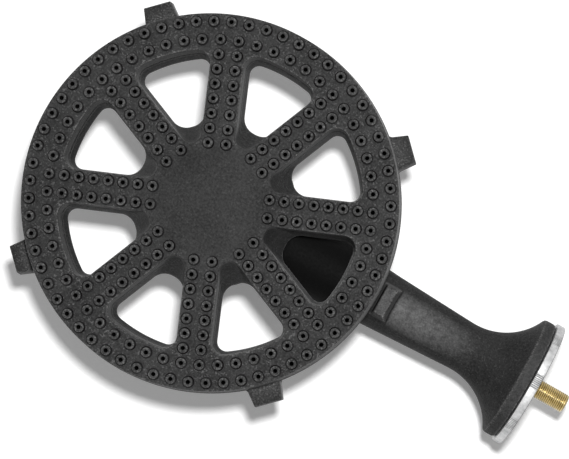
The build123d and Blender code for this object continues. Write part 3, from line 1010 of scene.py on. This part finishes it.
# %% Fill the underside and close the foot
# Painted shade on the short arcs across the spokes, round the foot.
foot_grime = 0.3
crossing_points = 9
foot_steps = ((0, 0.35 * mm), (0.2 * mm, 0.08 * mm), (0.8 * mm, 0))
star, foot_circle = [], []
upper_tangent, lower_tangent = half_window - hub_arc_points, half_window + hub_arc_points
for i, rim in enumerate(window_feet):
    star += rim[lower_tangent:] + rim[: upper_tangent + 1]
    foot_circle += rim[lower_tangent : upper_tangent - 1 : -1]
    leave = wheel.points[rim[upper_tangent]]
    arrive = wheel.points[window_feet[(i + 1) % spoke_count][lower_tangent]]
    start, end = math.atan2(leave[1], leave[0]), math.atan2(arrive[1], arrive[0])
    end += 2 * math.pi if end < start else 0
    crossing = arc((0, 0), foot_radius, start, end, crossing_points)[1:]
    level = np.full(len(crossing), underside_z)
    spoke_arc = wheel.loop(np.column_stack([crossing, level]), 0.0, foot_grime)
    star += spoke_arc
    foot_circle += spoke_arc
underside_faces = fill(wheel, [outer_loops[-1], star])

foot_loops = [foot_circle]
for inset, z in foot_steps:
    rim = np.array([wheel.points[number] for number in foot_circle])
    rim[:, :2] *= (foot_radius - inset) / np.hypot(rim[:, 0], rim[:, 1])[:, None]
    rim[:, 2] = z
    foot_loops.append(wheel.loop(rim))
wheel.walls(foot_loops)
wheel.plug(foot_loops[-1], (0, 0, 0))
print("underside faces:", underside_faces)

# %% [markdown]
# ## The wheel takes its place
# The finished skin becomes one object, in place of the packed head. Faces with full painted shade at
# every corner are the bores and the darkest stretches of the grooves, and they take the black painted
# shade. The bores could be a piece of their own, but one skin has no seams.

# %% The wheel takes its place
full_grime = 0.99
burner_wheel = dress(
    wheel.mesh("burner_wheel"), wheel_iron, "burner_head", "burner", 50
)
# Faces in full painted shade take the black painted shade.
wheel_grime = np.array(wheel.grime)
black_shaded = [
    int(wheel_grime[list(face.vertices)].min() > full_grime) for face in burner_wheel.data.polygons
]
burner_wheel.data.materials.append(port_black_shade)
burner_wheel.data.polygons.foreach_set("material_index", black_shaded)
print("sooty faces in and round the ports:", sum(black_shaded))

# %% [markdown]
# ## The mixer arm
# The arm is the second casting: a bowl under the hub, a tapering tube and the bell. The packed solid
# has its form, but its edges are knife sharp, which no sand mould gives. A bevel would need clean edge
# loops, which a packed mesh hasn't got. A voxel remesh gives even small faces instead; a little
# smoothing then rounds every edge and fillet as casting does, and the collapse of flat areas keeps the
# mesh light.


# %% Soften the arm
def softened(node, voxel, rounds, keep):
    """A copy of a packed node's mesh with every edge rounded as in a sand casting."""
    block = put_in_scene("block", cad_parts[node].data.copy())
    remesh = block.modifiers.new("remesh", "REMESH")
    remesh.mode = "VOXEL"
    remesh.voxel_size = voxel
    smooth = block.modifiers.new("smooth", "SMOOTH")
    smooth.factor = 0.5
    smooth.iterations = rounds
    collapse = block.modifiers.new("collapse", "DECIMATE")
    collapse.ratio = keep
    shaped = block.evaluated_get(bpy.context.evaluated_depsgraph_get())
    mesh = bpy.data.meshes.new_from_object(shaped)
    bpy.data.objects.remove(block)
    return mesh


arm_mesh = softened("mixer_arm", voxel=1.1 * mm, rounds=5, keep=0.45)
arm_mesh.name = "mixer_arm_casting"
print("faces of the softened arm:", len(arm_mesh.polygons))

# %% [markdown]
# ## The arm's flank
# Under the wheel, one flank of the real arm stands a little further out than the packed one, so that
# no floor shows beside it in its window. A lattice could bend it there, but a smooth push of the points
# is shorter, and it leaves the form as it is everywhere else.


# %% Fill out the arm's flank
def fuller_flank(mesh, middle, reach, amount):
    """Push the +Y flank out at one place along the arm, fading to nothing on both sides of it."""
    flank_width = 15 * mm
    place = np.empty(len(mesh.vertices) * 3)
    mesh.vertices.foreach_get("co", place)
    x, y = place[0::3], place[1::3]
    fade = np.clip(1 - ((x - middle) / reach) ** 2, 0, 1) ** 2
    place[1::3] += amount * fade * np.clip(y / flank_width, 0, 1)
    mesh.vertices.foreach_set("co", place)
    mesh.update()


flank_push = 1.6 * mm
fuller_flank(arm_mesh, middle=94 * mm, reach=32 * mm, amount=flank_push)
print("flank pushed out by up to", round(flank_push / mm, 1), "mm")

# %% [markdown]
# ## Wear and painted shade on the arm
# Edges are rubbed where the mesh bends outwards, and painted shade lies where it bends inwards. How
# much it bends at a point is read from its neighbours: they lie below the point's own tangent plane on
# an edge and above it in a hollow. A Geometry node's Pointiness would give that to the shader alone,
# but numbers on the mesh go with it. The narrow slit between the pad and the ring is black with
# painted shade all through.

# %% Mark wear and painted shade, and put the arm in place
wear_focus = 1.5
shade_threshold, most_grime = 0.15, 0.8
least_step = 1e-12


def mark_wear(mesh, sharp, hollow, slit_low, slit_high):
    """Store wear where the mesh bends outwards, and painted shade in its hollows and in the pad's slit.
    """
    count = len(mesh.vertices)
    place, normal = np.empty(count * 3), np.empty(count * 3)
    mesh.vertices.foreach_get("co", place)
    mesh.vertices.foreach_get("normal", normal)
    place, normal = place.reshape(-1, 3), normal.reshape(-1, 3)
    ends = np.empty(len(mesh.edges) * 2, int)
    mesh.edges.foreach_get("vertices", ends)
    ends = np.vstack([ends.reshape(-1, 2), ends.reshape(-1, 2)[:, ::-1]])
    step = place[ends[:, 1]] - place[ends[:, 0]]
    rise = (step * normal[ends[:, 0]]).sum(1) / np.maximum((step**2).sum(1), least_step)
    neighbours = np.maximum(np.bincount(ends[:, 0], minlength=count), 1)
    bend = np.bincount(ends[:, 0], rise, count) / neighbours
    wear = np.clip(-bend / sharp, 0, 1) ** wear_focus
    # Painted shade in hollows, and full painted shade in the slit between the pad and the ring.
    grime = np.clip(bend / hollow - shade_threshold, 0, most_grime)
    grime[np.all((place > slit_low) & (place < slit_high), axis=1)] = 1
    for track, values in (("wear", wear), ("grime", grime)):
        stored = mesh.attributes.new(track, "FLOAT", "POINT")
        stored.data.foreach_set("value", values.astype(np.float32))


slit_half, slit_depth = 12.5 * mm, 12 * mm
slit_low = (ring_foot - 2 * mm, -slit_half, parting_z - slit_depth)
slit_high = (ring_widest + 2.2 * mm, slit_half, parting_z + slit_depth)
mark_wear(arm_mesh, sharp=260.0, hollow=260.0, slit_low=slit_low, slit_high=slit_high)
dress(arm_mesh, arm_iron, "mixer_arm", "burner", 60)

# %% [markdown]
# ## Turned work on the arm's axis
# The inlet, jet, nut, washer and shutter lie on one axis, and most are lathe work. A profile of
# distance and radius is spun round that axis. A Screw modifier would spin it too, but always with one
# profile. Where the radius changes with the turn as well, the loops give a hexagon, a knurled grip or a
# screw thread.

# %% A lathe
axis_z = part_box("gas_inlet")[0].z / 2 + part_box("gas_inlet")[1].z / 2
X, Y, Z = (1, 0, 0), (0, 1, 0), (0, 0, 1)


def turns(steps):
    """Angles of evenly spaced points round a turn."""
    return np.linspace(0, 2 * math.pi, steps, endpoint=False)


def spun(skin, profile, origin, along, across, steps, closed=True):
    """Loops of turned work from rows of distance, radius and painted shade."""
    along, across = Vector(along), Vector(across)
    lathe_axes = np.array([along, across, along.cross(across)])
    turn = turns(steps)
    loops = []
    for distance, radius, grime in profile:
        local = np.column_stack([
            np.broadcast_to(distance, turn.shape), radius * np.cos(turn), radius * np.sin(turn)
        ])
        loops.append(skin.loop(local @ lathe_axes + np.array(origin), grime=grime))
    skin.walls(loops, closed)
    return loops


def turned(name, profile, origin, steps, across=Y):
    """The mesh of one turned piece along the arm's axis."""
    skin = Skin()
    spun(skin, profile, origin, X, across, steps)
    return skin.mesh(name)


print("arm axis height in mm:", round(axis_z / mm, 2))

# %% [markdown]
# ## Gas inlet
# A length of brass rod, drilled through and threaded outside at 18 threads to the inch. The thread is
# real here: at each step along the rod the radius follows a tooth that moves on by one pitch per turn.
# A bump would look the same from above, but the serrated edge of the silhouette needs real teeth. A
# plain groove breaks the thread at the shutter's face, and the tip is chamfered so that a hose nut can
# start.

# %% Cut the thread
inlet_low, inlet_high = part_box("gas_inlet")
thread_radius = inlet_high.y
thread_pitch = 25.4 / 18 * mm
thread_depth = 0.62 * mm
crest_share, flank_share = 0.35, 0.55
loops_a_pitch = 8
# Painted shade in the thread's roots, the deeper the tooth the darker.
root_grime = 0.4
inlet_steps = 60
groove_width, groove_depth, groove_past_face = 1.8 * mm, 0.7 * mm, 0.2 * mm
groove_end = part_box("air_shutter")[1].x + groove_past_face
groove_start = groove_end - groove_width
groove_radius = thread_radius - groove_depth
tip_chamfer = 1.0 * mm
end_step = 0.1 * mm


def thread_at(x):
    """Radius of the thread round the turn at a place along the rod."""
    phase = (x - inlet_low.x) / thread_pitch - turns(inlet_steps) / (2 * math.pi)
    tooth = np.abs(phase % 1 - 0.5) * 2
    return thread_radius - thread_depth * np.clip((1 - tooth - crest_share) / flank_share, 0, 1)


outside = [(inlet_low.x, thread_radius - thread_depth, 0)]
for x in np.arange(inlet_low.x + end_step, inlet_high.x, thread_pitch / loops_a_pitch):
    chamfered = thread_radius - max(0, x - (inlet_high.x - tip_chamfer))
    radius = np.minimum(thread_at(x), chamfered)
    if groove_start < x < groove_end:
        radius = np.minimum(radius, groove_radius)
    outside.append((x, radius, root_grime * (thread_radius - radius) / thread_depth))
outside.append((inlet_high.x, thread_radius - tip_chamfer - end_step, 0))
print("loops along the thread:", len(outside))

# %% [markdown]
# ## The inlet's bore
# The rod is drilled through for the gas, and its inner end is left narrower, to hold the jet. A boolean
# could drill it, but going back along the bore from the tip closes the skin with no cut at all. Painted
# shade deepens with the distance from the open end.

# %% Drill the inlet
bore_radius = 4.0 * mm
bore_ease = 0.4 * mm
bore_mouth = 12 * mm
jet_bore_radius, jet_bore_depth = 3.1 * mm, 7 * mm
jet_bore_end = inlet_low.x + jet_bore_depth
inside = [
    (inlet_high.x, bore_radius + bore_ease, 0),
    (inlet_high.x - bore_ease, bore_radius, 0.3),
    (inlet_high.x - bore_mouth, bore_radius, 0.9),
    (jet_bore_end, bore_radius, 1),
    (jet_bore_end, jet_bore_radius, 1),
    (inlet_low.x, jet_bore_radius, 0.5),
]
inlet_mesh = turned("gas_inlet_thread", outside + inside, Vector((0, 0, axis_z)), inlet_steps)
dress(inlet_mesh, turned_brass, "gas_inlet", "burner", 32)

# %% [markdown]
# ## The shutter's grips
# The shutter is a plated disc with a domed face that screws along the inlet. Its rim is smooth but for
# small patches of straight knurling, where fingers turn it. A bump could draw the flutes, but the rim's
# outline would stay smooth. So they are cut into the rim loops: within a patch the radius drops and
# rises about once a millimetre, and the flutes get painted shade.

# %% Knurl the grips
shutter_low, shutter_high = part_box("air_shutter")
shutter_radius = shutter_high.y
shutter_steps = 1080
grip_count = 8
grip_half = math.radians(7.5)
grip_start = math.radians(-4)
grip_fade = math.radians(1.0)
flute_pitch = 1.3 * mm
flute_depth = 0.28 * mm
flute_shade = 0.85

half_sector = math.pi / grip_count
on_rim = turns(shutter_steps)
from_grip = (on_rim - grip_start + half_sector) % (2 * math.pi / grip_count) - half_sector
in_grip = np.clip((grip_half - np.abs(from_grip)) / grip_fade, 0, 1)
flutes = 0.5 - 0.5 * np.cos(from_grip * shutter_radius / flute_pitch * 2 * math.pi)
cut = flute_depth * in_grip * flutes
# Painted shade in the flutes.
flute_shading = flute_shade * in_grip * flutes**2
print("grips:", grip_count, "with flutes", round(cut.max() / mm, 2), "mm deep")

# %% [markdown]
# ## Air shutter
# The face is part of a large ball, so that it bulges only a little. The outer edge of the rim gets a
# dark line of painted shade. A subdivided disc could be pushed into the same form, but then the knurl
# would need its own points anyway.

# %% Turn the shutter
shutter_length = shutter_high.x - shutter_low.x
rim_length = 5.8 * mm
rim_round = 0.6 * mm
rim_ease, rim_share = 0.2 * rim_round, 0.35 * rim_round
dome_ball = 486 * mm
dome_radii = (43 * mm, 38 * mm, 32 * mm, 26 * mm, 19 * mm)
boss_radius = 12 * mm
boss_ease = 1.2 * mm
shutter_bore = 7.05 * mm
# A dark line of painted shade along the rim's outer edge.
rim_edge_shade = 0.8


def dome_x(radius):
    """How far the domed face stands from the shutter's back at a radius."""
    edge = shutter_radius - rim_round
    return rim_length + math.sqrt(dome_ball**2 - radius**2) - math.sqrt(dome_ball**2 - edge**2)


# The third number of each row is painted shade.
shutter_profile = [
    (bore_ease, shutter_bore, 0.6),
    (0, shutter_bore + bore_ease, 0.3),
    (0, boss_radius, 0),
    (0, shutter_radius - rim_round, 0),
    (rim_ease, shutter_radius - rim_share - cut, flute_shading),
    (rim_round, shutter_radius - cut, flute_shading),
    (rim_length / 2, shutter_radius - cut, flute_shading),
    (rim_length - rim_round, shutter_radius - cut, flute_shading),
    (rim_length - rim_ease, shutter_radius - rim_share - cut, np.maximum(flute_shading, rim_edge_shade)),
    (rim_length, shutter_radius - rim_round, 0.6),
    *((dome_x(radius), radius, 0) for radius in (*dome_radii, boss_radius)),
    (shutter_length, boss_radius - boss_ease, 0),
    (shutter_length, shutter_bore + bore_ease, 0),
    (shutter_length - bore_ease, shutter_bore, 0.6),
]
shutter_back = (shutter_low.x, 0, axis_z)
disc_mesh = turned("air_shutter_disc", shutter_profile, shutter_back, shutter_steps, across=Z)
dress(disc_mesh, shutter_plate, "air_shutter", "shutter", 32)

# %% [markdown]
# ## Spring
# Behind the shutter a spring steadies it. A curve with a round bevel would make a spring in three
# lines, but the piece has to stretch with the shutter, so it is a mesh: loops of wire along a helix.
# The coils lie closer at both ends, as in a wound spring, and once more in the middle.

# %% Wind the spring
spring_low, spring_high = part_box("shutter_spring")
wire_radius = 0.7 * mm
coil_radius = spring_high.y - wire_radius
coil_turns = 4
steps_a_turn = 48
wire_steps = 10
coil_closing = 0.035
spring_run = spring_high.x - spring_low.x - 2 * wire_radius
section = turns(wire_steps)
coil = Skin()
wire_loops = []
for i in range(coil_turns * steps_a_turn + 1):
    share = i / (coil_turns * steps_a_turn)
    eased = share - coil_closing * math.sin(4 * math.pi * share)
    turn = 2 * math.pi * coil_turns * share
    outward = np.array([0, math.cos(turn), math.sin(turn)])
    start = np.array([spring_low.x + wire_radius + spring_run * eased, 0, axis_z])
    round_wire = np.outer(np.cos(section), outward) + np.outer(np.sin(section), X)
    wire_loops.append(coil.loop(start + coil_radius * outward + wire_radius * round_wire))
coil.walls(wire_loops)
for end in (wire_loops[0], wire_loops[-1]):
    coil.plug(end, np.mean([coil.points[number] for number in end], axis=0))
coil_mesh = coil.mesh("shutter_spring_coil")
shutter_spring = dress(coil_mesh, spring_wire, "shutter_spring")
nut_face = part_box("lock_nut")[1].x
washer_low, washer_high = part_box("follower_washer")
spring_start, spring_end = (nut_face, 0, axis_z), (washer_low.x, 0, axis_z)
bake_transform(shutter_spring)

# %% [markdown]
# ## Follower washer
# A plain washer between spring and shutter slides but doesn't turn. It is stamped, so every edge has a
# little roll. A flat ring with a bevel would look the same, but the lathe is at hand.


# %% Stamp the washer behind the shutter
def washer_profile(bore, rim, thickness, ease):
    """A stamped washer: flat faces with a little roll at every edge."""
    # Painted shade in the bore.
    bore_shade = 0.3
    return [
        (ease, bore, bore_shade),
        (0, bore + ease, 0),
        (0, rim - ease, 0),
        (ease, rim, 0),
        (thickness - ease, rim, 0),
        (thickness, rim - ease, 0),
        (thickness, bore + ease, 0),
        (thickness - ease, bore, bore_shade),
    ]


follower_bore, follower_roll, follower_steps = 7.15 * mm, 0.2 * mm, 72
follower_thickness = washer_high.x - washer_low.x
follower_shape = washer_profile(follower_bore, washer_high.y, follower_thickness, follower_roll)
follower_mesh = turned("follower_ring", follower_shape, spring_end, follower_steps)
dress(follower_mesh, zinc_plate, "follower_washer", "follower", 32)

# %% [markdown]
# ## Hub washers
# Four more washers lie under the heads of the hub's screws. They could be four objects, but they are
# one node of the packed model, so they share one skin.

# %% Stamp the hub washers
washer_bore, washer_rim, washer_roll, washer_steps = 3.3 * mm, 6 * mm, 0.25 * mm, 48
washers_low, washers_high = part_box("hub_washers")
washer_thickness = washers_high.z - washers_low.z
washer_shape = washer_profile(washer_bore, washer_rim, washer_thickness, washer_roll)
screw_circle, screw_count = 49.5 * mm, 4
screw_places = [
    (math.cos(turn), math.sin(turn), 0)
    for turn in (math.pi / screw_count + 2 * math.pi / screw_count * i for i in range(screw_count))
]
hub_washers = Skin()
for out in screw_places:
    spot = Vector(out) * screw_circle + Vector((0, 0, washers_low.z))
    spun(hub_washers, washer_shape, spot, Z, out, washer_steps)
dress(hub_washers.mesh("hub_washer_set"), zinc_plate, "hub_washers", "burner", 32)

# %% [markdown]
# ## Lock nut
# The nut locks the inlet to the arm. A cylinder with six sides would do from afar, but a hexagon can be
# lathe work too: its radius grows towards each corner and shrinks to each flat. Real nuts and screw
# heads are chamfered, so each corner is cut back where the radius is largest. That curved line on the
# flats is what makes a hexagon look machined.

# %% Hexagons and the lock nut
hex_steps = 72
hex_land = 0.95
chamfer_start = 0.99
chamfer_slope = math.tan(math.radians(30))


def hexagon(flats, steps):
    """Radius of a hexagon round the turn, and how far the chamfer cuts each point back."""
    turn = turns(steps)
    radius = flats / 2 / np.cos(turn % (math.pi / 3) - math.pi / 6)
    chamfer = (radius - flats / 2 * chamfer_start) * chamfer_slope
    return radius, np.maximum(chamfer, 0)


nut_low, nut_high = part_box("lock_nut")
nut_flats = nut_high.z - nut_low.z
nut_length = nut_high.x - nut_low.x
nut_clearance = 0.1 * mm
nut_bore = thread_radius + nut_clearance
nut_ease = 0.5 * mm
corner, chamfer = hexagon(nut_flats, hex_steps)
# The third number of each row is painted shade, here in the bore.
nut_profile = [
    (nut_ease, nut_bore, 0.3),
    (0, nut_bore + nut_ease, 0),
    (0, nut_flats / 2 * hex_land, 0),
    (chamfer, corner, 0),
    (nut_length - chamfer, corner, 0),
    (nut_length, nut_flats / 2 * hex_land, 0),
    (nut_length, nut_bore + nut_ease, 0),
    (nut_length - nut_ease, nut_bore, 0.3),
]
nut_mesh = turned("lock_nut_brass", nut_profile, (nut_low.x, 0, axis_z), hex_steps)
dress(nut_mesh, turned_brass, "lock_nut", "burner", 30)

# %% [markdown]
# ## Orifice jet
# The jet meters the gas through a fine hole in its nose. It screws into the inlet's inner end by its
# hexagon, which is chamfered on the side that the spanner comes from. Hardly any of it shows, but the
# lathe makes it in a few lines.

# %% Turn the jet
jet_low, jet_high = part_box("orifice_jet")
jet_flats = jet_high.z - jet_low.z
jet_length = jet_high.x - jet_low.x
jet_hole, jet_thread = 0.8 * mm, 3.0 * mm
nose_radius, nose_length, nose_ease = 2.0 * mm, 2.5 * mm, 0.3 * mm
head_end = 7.5 * mm
corner, chamfer = hexagon(jet_flats, hex_steps)
# The third number of each row is painted shade, here in the hole and at the nose.
jet_profile = [
    (0, jet_hole, 1),
    (0, nose_radius - nose_ease, 0),
    (nose_ease, nose_radius, 0),
    (nose_length, nose_radius, 0.2),
    (nose_length, jet_flats / 2 * hex_land, 0),
    (nose_length + chamfer, corner, 0),
    (head_end, corner, 0),
    (head_end, jet_thread, 0),
    (jet_length, jet_thread, 0),
    (jet_length, jet_hole, 1),
]
jet_mesh = turned("orifice_jet_brass", jet_profile, (jet_low.x, 0, axis_z), hex_steps)
dress(jet_mesh, turned_brass, "orifice_jet", "burner", 30)

# %% [markdown]
# ## Hub screws
# Four hexagon screws hold the arm to the hub from below. They could be copies of one screw, but they
# are one node of the packed model, so they share one skin. Each has a shallow dish in its head, as a
# forged head has.

# %% Make the screws
screws_low, screws_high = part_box("hub_screws")
screw_length = screws_high.z - screws_low.z
screw_flats, screw_head, shank = 10 * mm, 4 * mm, 3 * mm
dish_depth, dish_radius, dish_rim = 0.25 * mm, 3.4 * mm, 3.8 * mm
point_chamfer = 0.6 * mm
corner, chamfer = hexagon(screw_flats, hex_steps)
# The third number of each row is painted shade, here in the dish of the head.
screw_profile = [
    (dish_depth, dish_radius, 0.2),
    (0, dish_rim, 0),
    (0, screw_flats / 2 * hex_land, 0),
    (chamfer, corner, 0),
    (screw_head, corner, 0),
    (screw_head, shank, 0),
    (screw_length - point_chamfer, shank, 0),
    (screw_length, shank - point_chamfer, 0),
]
hub_screws = Skin()
for out in screw_places:
    spot = Vector(out) * screw_circle + Vector((0, 0, screws_low.z))
    loops = spun(hub_screws, screw_profile, spot, Z, out, hex_steps, closed=False)
    hub_screws.plug(loops[0], spot + Vector((0, 0, dish_depth)))
    hub_screws.plug(loops[-1], spot + Vector((0, 0, screw_length)))
dress(hub_screws.mesh("hub_screw_set"), zinc_plate, "hub_screws", "burner", 30)

# %% [markdown]
# ## Gasket
# The gasket is a flat ring that shows only as a thin line between the hub's foot and the flange. The
# packed solid already has that shape, so it stays and only gets its finish.

# %% Finish the gasket
gasket_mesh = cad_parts["hub_gasket"].data
gasket_mesh.materials.clear()
gasket_mesh.materials.append(gasket_fibre)
print("gasket finish:", gasket_mesh.materials[0].name)

# %% [markdown]
# ## Sizes
# The pieces must not outgrow the packed model. Its box was taken straight after loading.
